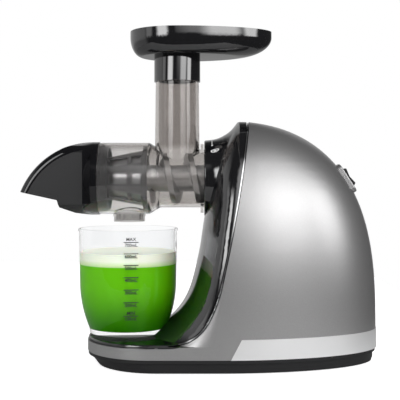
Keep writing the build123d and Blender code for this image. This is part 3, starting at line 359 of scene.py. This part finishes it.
# %% Motor and electrics
laminated = new_finish("laminated", (0.3, 0.3, 0.31), 0.4, Metallic=1.0)
stripes = add_node(laminated, "ShaderNodeTexWave", bands_direction="X")
stripes.inputs["Scale"].default_value = 320.0
join(laminated, object_point(laminated), stripes.inputs["Vector"])
bump(laminated, stripes.outputs["Fac"], 0.00008, 0.6)

wound_copper = new_finish("wound_copper", (0.55, 0.2, 0.08), 0.3, Metallic=0.9)
wires = add_node(wound_copper, "ShaderNodeTexWave", bands_direction="DIAGONAL")
wires.inputs["Scale"].default_value = 260.0
wires.inputs["Distortion"].default_value = 1.5
join(wound_copper, object_point(wound_copper), wires.inputs["Vector"])
bump(wound_copper, wires.outputs["Fac"], 0.0003, 0.8)

mask_green = (0.02, 0.14, 0.05)
board_mask = new_finish("board_mask", mask_green, 0.3)
tracks = add_node(board_mask, "ShaderNodeTexBrick")
tracks.inputs["Scale"].default_value = 180.0
tracks.inputs["Color1"].default_value = (*mask_green, 1.0)
tracks.inputs["Color2"].default_value = (0.025, 0.17, 0.06, 1.0)
tracks.inputs["Mortar"].default_value = (0.05, 0.25, 0.09, 1.0)
join(board_mask, object_point(board_mask), tracks.inputs["Vector"])
join(board_mask, tracks.outputs["Color"], shader_of(board_mask).inputs["Base Color"])

can_alloy = new_finish("can_alloy", (0.6, 0.6, 0.6), 0.3, Metallic=1.0)
tone(can_alloy, noise(can_alloy, 500.0, 3.0, (0.1, 1.0, 1.0)), 0.2, 0.4)

switch_plastic = new_finish("switch_plastic", (0.014, 0.014, 0.015), 0.22)
bump(switch_plastic, noise(switch_plastic, 1200.0), 0.00002, 0.4)

# %% [markdown]
# ## Putting the finishes on
# A CAD node keeps its mesh. It gets a finish in its material slots and three modifiers that only change how
# it is shaded. A weld joins the loose triangles. An edge split keeps edges above 32 degrees crisp while the
# curved skins turn smooth. Weighted normals let large faces rule, so flat walls stay flat beside a fillet.

# %% Dress the CAD nodes
crisp_edge = radians(32)
weld_reach = 0.000002
even_weight = 50
node_finishes = {
    "shell": grey_lacquer, "front_panel": gloss_black, "seam_trim": plated, "rear_band": silver_lacquer,
    "base_plate": base_plastic, "feet": foot_rubber, "base_screws": zinc_steel, "drum": smoky_clear,
    "drum_seal": silicone, "strainer_frame": strainer_smoke, "strainer_screen": screen_steel,
    "auger": auger_plastic, "auger_hex": ground_steel, "auger_seal": silicone, "end_cap": nose_plastic,
    "hopper_tray": gloss_black, "cup": clear_cup, "gearbox_case": case_nylon, "gearbox_cover": case_nylon,
    "gearbox_screws": zinc_steel, "output_gear": acetal, "output_shaft": ground_steel,
    "output_bushes": bronze, "shaft_seal": foot_rubber, "layshaft": ground_steel,
    "layshaft_pinion": ground_steel, "layshaft_gear": acetal, "layshaft_bushes": bronze,
    "motor_pinion": ground_steel, "motor_shaft": ground_steel, "rotor_core": laminated,
    "cooling_fan": acetal, "stator_core": laminated, "stator_coils": wound_copper,
    "motor_front_bell": cast_alloy, "motor_rear_bell": cast_alloy, "motor_bearings": ground_steel,
    "motor_cradle": zinc_steel, "switch_bezel": grey_lacquer, "switch_rocker": switch_plastic,
    "switch_terminals": bronze, "circuit_board": board_mask, "run_capacitor": can_alloy,
    "cord_grommet": foot_rubber,
}
for node_name, finish in node_finishes.items():
    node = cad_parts[node_name]
    for node_slot in node.material_slots:
        node_slot.material = finish
    node.data.shade_smooth()
    weld = node.modifiers.new("weld", "WELD")
    weld.merge_threshold = weld_reach
    split_edges = node.modifiers.new("crisp_edges", "EDGE_SPLIT")
    split_edges.split_angle = crisp_edge
    split_edges.use_edge_sharp = False
    even = node.modifiers.new("even_normals", "WEIGHTED_NORMAL")
    even.weight = even_weight
print("dressed", len(node_finishes), "nodes")

# %% [markdown]
# ## Pieces made by turning
# Juice and foam fill the cup, so each is a solid of revolution: half an outline, spun about the cup's
# axis. A scaled cylinder couldn't follow the curved wall. A spin with doubles merged gives a closed skin,
# and its normals are then turned outwards.

# %% Turning helpers
cup_x = -0.0783
pole_reach = 0.00001


def link_mesh(name, mesh_data, finish, body):
    """Close off a bmesh as a piece that rides on a body."""
    mesh = bpy.data.meshes.new(name)
    bmesh.ops.recalc_face_normals(mesh_data, faces=mesh_data.faces)
    mesh_data.to_mesh(mesh)
    mesh_data.free()
    mesh.shade_smooth()
    piece = bpy.data.objects.new(name, mesh)
    bpy.context.scene.collection.objects.link(piece)
    mesh.materials.append(finish)
    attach(piece, body)
    print(name, len(mesh.polygons), "faces")
    return piece


def turned_piece(name, outline, center_x, finish, body, steps=96):
    """Spin (radius, height) points in metres about an upright axis at center_x."""
    turned = bmesh.new()
    verts = [turned.verts.new((center_x + r, 0.0, z)) for r, z in outline]
    edges = [turned.edges.new(pair) for pair in zip(verts, verts[1:])]
    bmesh.ops.spin(turned, geom=verts + edges, cent=(center_x, 0.0, 0.0), axis=(0.0, 0.0, 1.0),
                   angle=2 * pi, steps=steps, use_merge=True)
    bmesh.ops.remove_doubles(turned, verts=turned.verts, dist=pole_reach)
    piece = link_mesh(name, turned, finish, body)
    edge_split = piece.modifiers.new("crisp_edges", "EDGE_SPLIT")
    edge_split.split_angle = crisp_edge


print("turning helpers ready")

# %% [markdown]
# ## The cup's walls
# The cup's side is part of a circle up to its waist and widens slowly above it, inside and outside alike.
# The juice must touch the wall, because a gap would look like a thick pale skin, so it bites into the wall
# by a hair. The print lies on the outer wall. One formula serves both.

# %% Radius of the cup at a height
cup_waist_high = 0.084
cup_flare = 0.0154
inner_wall = (-0.0710, 0.12132, 0.08587)
outer_wall = (-0.07965, 0.13197, 0.08603)
wall_bite = 0.00015


def wall_radius(height, wall):
    """Radius at a height; a wall is the offset, the bend and the centre height of its circle."""
    offset, bend, center = wall
    low = min(height, cup_waist_high)
    return offset + sqrt(bend ** 2 - (low - center) ** 2) + cup_flare * (height - low)


def juice_radius(height):
    return wall_radius(height, inner_wall) + wall_bite


print("cup waist", round(wall_radius(cup_waist_high, outer_wall) * 2000, 1), "mm across")

# %% [markdown]
# ## Juice
# Fresh green juice is dense, so it takes colour from light that wanders just below its surface. A glassy
# liquid would look like syrup, and plain paint like a lid, so it is a matt green with some light let in
# below the skin. It is yellower near the top and darker towards the bottom, where less light arrives.

# %% Green juice
cup_floor_high = 0.0357
cup_floor_radius = 0.0394
cup_heel_high = 0.0376
cup_side_steps = 14
foam_low = 0.1043
juice_deep = (0.028, 0.21, 0.001)
juice_bright = (0.13, 0.50, 0.002)
juice_fade = (0.032, 0.090)

juice_green = new_finish("juice_green", juice_bright, 0.3, Subsurface_Weight=0.25, Specular_IOR_Level=0.05)
shader_of(juice_green).inputs["Subsurface Radius"].default_value = (0.6, 1.0, 0.15)
shader_of(juice_green).inputs["Subsurface Scale"].default_value = 0.01
paint(juice_green, ramp(juice_green, object_axes(juice_green)["Z"], *juice_fade, smooth=True),
      juice_deep, juice_bright)

floor_bitten = cup_floor_high - wall_bite
juice_outline = [(0.0, floor_bitten), (cup_floor_radius + wall_bite, floor_bitten)]
for step in range(cup_side_steps + 1):
    height = cup_heel_high + (cup_waist_high - cup_heel_high) * step / cup_side_steps
    juice_outline.append((juice_radius(height), height))
juice_outline += [(juice_radius(foam_low), foam_low), (0.0, foam_low)]
turned_piece("green_juice", juice_outline, cup_x, juice_green, "juice_cup")

# %% [markdown]
# ## Foam
# Foam floats on the juice as a pale layer that climbs the wall a little. Real bubbles would be far too many
# faces, so noise roughens its colour and its surface instead. It is greener below, where juice clings
# between the bubbles. Its top lies in the shade of the cup's own wall, so it gets a faint glow there.

# %% Foam
foam_top = 0.1165
foam_climb = 0.001
foam_lip = 0.002
foam_green = (0.56, 0.74, 0.32)
foam_pale = (0.90, 0.93, 0.80)
foam_fade = 0.006
bubble_share = 0.5
top_facing = (0.6, 0.9)
top_glow = 0.4

foam_cream = new_finish("foam_cream", foam_pale, 0.6, Subsurface_Weight=0.3)
shader_of(foam_cream).inputs["Subsurface Scale"].default_value = 0.006
bubbles = noise(foam_cream, 900.0, 4.0)
froth = calc(foam_cream, "ADD",
             ramp(foam_cream, object_axes(foam_cream)["Z"], foam_low, foam_low + foam_fade),
             calc(foam_cream, "MULTIPLY", calc(foam_cream, "SUBTRACT", bubbles, 0.5), bubble_share))
paint(foam_cream, froth, foam_green, foam_pale)
bump(foam_cream, bubbles, 0.0004, 0.6)
facing = axes_of(foam_cream, add_node(foam_cream, "ShaderNodeTexCoord").outputs["Normal"])
shader_of(foam_cream).inputs["Emission Color"].default_value = (0.86, 0.90, 0.76, 1.0)
join(foam_cream, ramp(foam_cream, facing["Z"], *top_facing, 0.0, top_glow),
     shader_of(foam_cream).inputs["Emission Strength"])

foam_radius = juice_radius(foam_top)
foam_outline = [(0.0, foam_low), (juice_radius(foam_low), foam_low), (foam_radius, foam_top + foam_climb),
                (foam_radius - foam_lip, foam_top), (0.0, foam_top)]
turned_piece("foam", foam_outline, cup_x, foam_cream, "juice_cup")

# %% [markdown]
# ## Flat print
# The cup's scale and the collar's marks are printed. A picture on the surface would need a picture file and
# an unwrapped mesh, so the print is made of real, very thin pieces: bars, discs and letters, drawn flat and
# upright, with a little body. They are bent round their piece afterwards.

# %% Print helpers
ink_thick = 0.00012
bold_edge = 0.0001
stand_up = Matrix.Rotation(radians(90), 4, "X")


def thicken(mesh_data):
    """Give flat print a little body towards the viewer."""
    pushed = bmesh.ops.extrude_face_region(mesh_data, geom=list(mesh_data.faces))
    moved = [g for g in pushed["geom"] if isinstance(g, bmesh.types.BMVert)]
    bmesh.ops.translate(mesh_data, vec=(0.0, ink_thick, 0.0), verts=moved)


def flat_bar(x, z, width, height, x_cuts=1, z_cuts=1):
    """An upright bar, cut across where it has to bend."""
    bar = bmesh.new()
    bmesh.ops.create_grid(bar, x_segments=x_cuts, y_segments=z_cuts, size=0.5, matrix=stand_up)
    bmesh.ops.scale(bar, vec=(width, 1.0, height), verts=bar.verts)
    bmesh.ops.translate(bar, vec=(x, 0.0, z), verts=bar.verts)
    return bar


def flat_word(text, size, center_z):
    """Letters as a mesh that stands upright and faces the viewer."""
    curve = bpy.data.curves.new("word_" + text, "FONT")
    curve.body = text
    curve.size = size
    curve.align_x = "CENTER"
    curve.align_y = "CENTER"
    curve.resolution_u = 3
    curve.offset = bold_edge
    holder = bpy.data.objects.new("word_" + text, curve)
    bpy.context.scene.collection.objects.link(holder)
    flat = bpy.data.meshes.new_from_object(holder.evaluated_get(bpy.context.evaluated_depsgraph_get()))
    bpy.data.objects.remove(holder)
    bpy.data.curves.remove(curve)
    word = bmesh.new()
    word.from_mesh(flat)
    bpy.data.meshes.remove(flat)
    bmesh.ops.rotate(word, cent=(0, 0, 0), matrix=stand_up.to_3x3(), verts=word.verts)
    bmesh.ops.translate(word, vec=(0.0, 0.0, center_z), verts=word.verts)
    return word


print("ink", round(ink_thick * 1000, 2), "mm thick")

# %% [markdown]
# ## The printed scale
# The cup is printed with a mark for every 100 mL, from 100 to 700. Each mark is a line with its number
# below. The marks lie closer together towards the top, because the cup widens there. Flat print is bent:
# its width becomes an angle round the cup, and its depth follows the cup's side, so it lies on the wall.

# %% Printed scale
mark_turn = radians(7.7)
mark_heights = [(700, 0.1308), (600, 0.1190), (500, 0.1070), (400, 0.0944), (300, 0.0815), (200, 0.0683),
                (100, 0.0538)]
mark_width = 0.0155
mark_thick = 0.0009
number_drop = 0.0031
word_lift = 0.0030
label_size = 0.0048
cup_ink_gap = 0.00006

print_ink = new_finish("print_ink", (0.03, 0.03, 0.032), 0.5)
tone(print_ink, noise(print_ink, 800.0), 0.4, 0.6)


def print_on_cup(name, mesh_data):
    """Bend flat print, drawn as (x, 0, z), round the front of the cup and fix it there."""
    thicken(mesh_data)
    for vert in mesh_data.verts:
        x, raised, z = vert.co
        radius = wall_radius(z, outer_wall) + cup_ink_gap + raised
        angle = x / radius + mark_turn
        vert.co = (cup_x + radius * sin(angle), -radius * cos(angle), z)
    link_mesh(name, mesh_data, print_ink, "juice_cup")


for amount, height in mark_heights:
    print_on_cup(f"scale_line_{amount}", flat_bar(0.0, height, mark_width, mark_thick, x_cuts=12))
    print_on_cup(f"scale_number_{amount}", flat_word(f"{amount}mL", label_size, height - number_drop))
for word, height in (("MAX", mark_heights[0][1]), ("MIN", mark_heights[-1][1])):
    print_on_cup(f"scale_word_{word.lower()}", flat_word(word, label_size, height + word_lift))

# %% [markdown]
# ## Marks on the collar
# A white line with a dot and a small lock sign on the collar show how far the drum is turned. They are
# printed too, so the same trick bends them round the drum's axis. Here the upright direction of the flat
# print becomes an arc from the top of the collar.

# %% Collar marks
collar_start = 0.0062
collar_start_radius = 0.0414
collar_slope = 0.0976
flare_start = 0.01195
flare_bend = 0.064
collar_ink_gap = 0.00008
line_x = 0.0128
line_arc = (-0.0235, -0.004)
line_width = 0.0007
dot_arc = -0.0245
sign_x = 0.0158
sign_arc = -0.0345

print_white = new_finish("print_white", (0.85, 0.85, 0.85), 0.4)
tone(print_white, noise(print_white, 800.0), 0.35, 0.5)


def collar_radius(x):
    """Radius of the collar, which widens slowly and then flares."""
    flare = max(0.0, x - flare_start) ** 2 / flare_bend
    return collar_start_radius + collar_slope * (x - collar_start) + flare


def print_on_collar(name, mesh_data):
    """Bend flat print, drawn as (x, 0, arc length from the top), round the drum's axis."""
    thicken(mesh_data)
    for vert in mesh_data.verts:
        x, raised, arc = vert.co
        radius = collar_radius(x) + collar_ink_gap + raised
        angle = -arc / radius
        vert.co = (x, -radius * sin(angle), axis_height + radius * cos(angle))
    link_mesh(name, mesh_data, print_white, "housing")


def flat_disc(x, arc, radius_x, radius_arc, hole=0.0):
    """An oval disc; hole is the share of its radius that is cut out."""
    disc = bmesh.new()
    bmesh.ops.create_circle(disc, cap_ends=True, segments=32, radius=1.0, matrix=stand_up)
    if hole:
        bmesh.ops.inset_region(disc, faces=list(disc.faces), thickness=1.0 - hole, use_boundary=True)
        middle = min(disc.faces, key=lambda f: f.calc_center_median().length)
        bmesh.ops.delete(disc, geom=[middle], context="FACES")
    bmesh.ops.scale(disc, vec=(radius_x, 1.0, radius_arc), verts=disc.verts)
    bmesh.ops.translate(disc, vec=(x, 0.0, arc), verts=disc.verts)
    return disc


print_on_collar("collar_line", flat_bar(line_x, sum(line_arc) / 2, line_width, line_arc[1] - line_arc[0],
                                        z_cuts=16))
print_on_collar("collar_dot", flat_disc(line_x, dot_arc, 0.0010, 0.0012))
print_on_collar("collar_sign_ring", flat_disc(sign_x, sign_arc, 0.0045, 0.0024, 0.68))
print_on_collar("collar_sign_core", flat_disc(sign_x, sign_arc, 0.0018, 0.0013))

# %% [markdown]
# ## Floor
# The table is one flat sheet, a hair below the feet, that catches the juicer's shadow. One without end would
# show as a pale band in every gloss face, so this one ends in front of the juicer and to its right, where
# the room is dark.

# %% Floor
table_half = (0.62, 0.75)
table_center = (-0.28, 0.3, 0.0)
table_drop = 0.0002

floor_mesh = bmesh.new()
bmesh.ops.create_grid(floor_mesh, x_segments=2, y_segments=2, size=1.0)
bmesh.ops.scale(floor_mesh, vec=(*table_half, 1.0), verts=floor_mesh.verts)
bmesh.ops.translate(floor_mesh, vec=table_center, verts=floor_mesh.verts)
floor_data = bpy.data.meshes.new("studio_floor")
floor_mesh.to_mesh(floor_data)
floor_mesh.free()
studio_floor = bpy.data.objects.new("studio_floor", floor_data)
studio_floor.location = (0.0, 0.0, -table_drop)
bpy.context.scene.collection.objects.link(studio_floor)
print("table", [round(v, 2) for v in studio_floor.dimensions[:2]], "m")

# %% [markdown]
# ## Floor finish
# The table is plain and pale. The lamps alone would leave it grey, and a plain white glow would hide the
# shadow, so its finish asks what kind of ray meets it. The camera and clear pieces see its glow, and mirrors
# hardly. Mirrors also see it darker than it is, so that the housing's foot and right edge turn dark.

# %% Floor finish
table_white = (0.8, 0.8, 0.8)
table_mirrored = (0.45, 0.45, 0.45)
glow_seen = 0.8
glow_mirrored = 0.05

pale_floor = new_finish("pale_floor", table_white, 0.6)
seen_by = add_node(pale_floor, "ShaderNodeLightPath")
mirror_sees = seen_by.outputs["Is Glossy Ray"]
paint(pale_floor, mirror_sees, table_white, table_mirrored)
eye_sees = calc(pale_floor, "MAXIMUM", seen_by.outputs["Is Camera Ray"], seen_by.outputs["Is Transmission Ray"])
glow = add_node(pale_floor, "ShaderNodeEmission")
join(pale_floor, calc(pale_floor, "MAXIMUM", calc(pale_floor, "MULTIPLY", eye_sees, glow_seen),
                      calc(pale_floor, "MULTIPLY", mirror_sees, glow_mirrored)), glow.inputs["Strength"])
both = add_node(pale_floor, "ShaderNodeAddShader")
join(pale_floor, shader_of(pale_floor).outputs["BSDF"], both.inputs[0])
join(pale_floor, glow.outputs["Emission"], both.inputs[1])
join(pale_floor, both.outputs["Shader"], pale_floor.node_tree.nodes["Material Output"].inputs["Surface"])
floor_data.materials.append(pale_floor)
print("floor finish has", len(pale_floor.node_tree.nodes), "nodes")

# %% [markdown]
# ## Room
# Gloss black and metallic lacquer show the room more than their own colour. An even white room would wash
# them out, so it is white behind and to the left of the juicer and dark elsewhere, and edges light up
# against it. The numbers below bound that white part, in parts of a direction of length one. The camera and
# clear pieces see plain white, and matt surfaces get a little light from all sides.

# %% Room
wall_lean = 0.35
wall_fade = 0.25
wall_right_end = (0.6, 0.35)
wall_top_end = (0.75, 0.4)
wall_foot = (-0.15, 0.0)
foot_share = 0.5
wall_light = 0.62
dark_light = 0.06
matt_light = 0.3

world = bpy.data.worlds.new("studio")
bpy.context.scene.world = world
world.use_nodes = True
for old in list(world.node_tree.nodes):
    world.node_tree.nodes.remove(old)

toward = axes_of(world, add_node(world, "ShaderNodeTexCoord").outputs["Generated"])
behind = calc(world, "SUBTRACT", toward["Y"], calc(world, "MULTIPLY", toward["X"], wall_lean))
back_wall = calc(world, "MULTIPLY", ramp(world, behind, 0.0, wall_fade, smooth=True),
                 ramp(world, toward["X"], *wall_right_end, smooth=True))
back_wall = calc(world, "MULTIPLY", back_wall, ramp(world, toward["Z"], *wall_top_end, smooth=True))
above_foot = ramp(world, toward["Z"], *wall_foot, foot_share, 1.0, smooth=True)
back_wall = calc(world, "MULTIPLY", back_wall, above_foot)
room_light = calc(world, "ADD", calc(world, "MULTIPLY", back_wall, wall_light), dark_light)
eye = add_node(world, "ShaderNodeLightPath")
plain = calc(world, "MAXIMUM", eye.outputs["Is Camera Ray"], eye.outputs["Is Transmission Ray"])
level = calc(world, "MAXIMUM", room_light, plain)
level = calc(world, "MAXIMUM", level, calc(world, "MULTIPLY", eye.outputs["Is Diffuse Ray"], matt_light))

backdrop = add_node(world, "ShaderNodeBackground")
backdrop.inputs["Color"].default_value = (1.0, 1.0, 1.0, 1.0)
join(world, level, backdrop.inputs["Strength"])
join(world, backdrop.outputs["Background"], add_node(world, "ShaderNodeOutputWorld").inputs["Surface"])
print("room has", len(world.node_tree.nodes), "nodes")

# %% [markdown]
# ## Lamps
# Five soft lamps stand in front: a wide one above the camera, two to the right that light the housing, and
# two to the left that light the drum and the cup. A lamp with a hard rim shows as a hard rectangle in gloss
# black, so the glow of each fades towards its rim, as it does on cloth over a lamp. A lamp is set by how
# bright its face is, because that is what a mirror shows, and its power follows from its size.

# %% Lamps
rim_fade = 0.3
face_middle = 0.5
lamp_aim = (0.0, 0.0, 0.15)


def soften_edges(data):
    """Let the glow of an area lamp fade towards its rim."""
    data.use_nodes = True
    across = axes_of(data, add_node(data, "ShaderNodeNewGeometry").outputs["Parametric"])
    fades = [ramp(data, calc(data, "PINGPONG", across[axis], face_middle), 0.0, rim_fade, smooth=True)
             for axis in ("X", "Y")]
    join(data, calc(data, "MULTIPLY", *fades), data.node_tree.nodes["Emission"].inputs["Strength"])


def soft_lamp(name, spot, size, brightness):
    """A rectangle of soft light at a spot, aimed at the juicer, with a face of this brightness."""
    data = bpy.data.lights.new(name, "AREA")
    data.shape = "RECTANGLE"
    data.size, data.size_y = size
    data.energy = pi * size[0] * size[1] * brightness
    soften_edges(data)
    lamp = bpy.data.objects.new(name, data)
    lamp.location = spot
    lamp.rotation_euler = (Vector(lamp_aim) - Vector(spot)).to_track_quat("-Z", "Y").to_euler()
    bpy.context.scene.collection.objects.link(lamp)
    print(name, round(data.energy, 1), "W")


soft_lamp("high_softbox", (0.62, -1.22, 0.98), (2.2, 1.35), 2.1)
soft_lamp("right_softbox", (0.77, -1.29, 0.60), (1.1, 0.92), 3.6)
soft_lamp("right_edge_softbox", (1.32, -0.70, 0.60), (0.75, 0.92), 5.0)
soft_lamp("left_softbox", (-0.84, -1.24, 0.60), (0.9, 0.92), 5.8)
soft_lamp("left_edge_softbox", (-1.38, -0.58, 0.60), (0.6, 0.92), 1.0)

bpy.context.scene.view_settings.view_transform = "Standard"
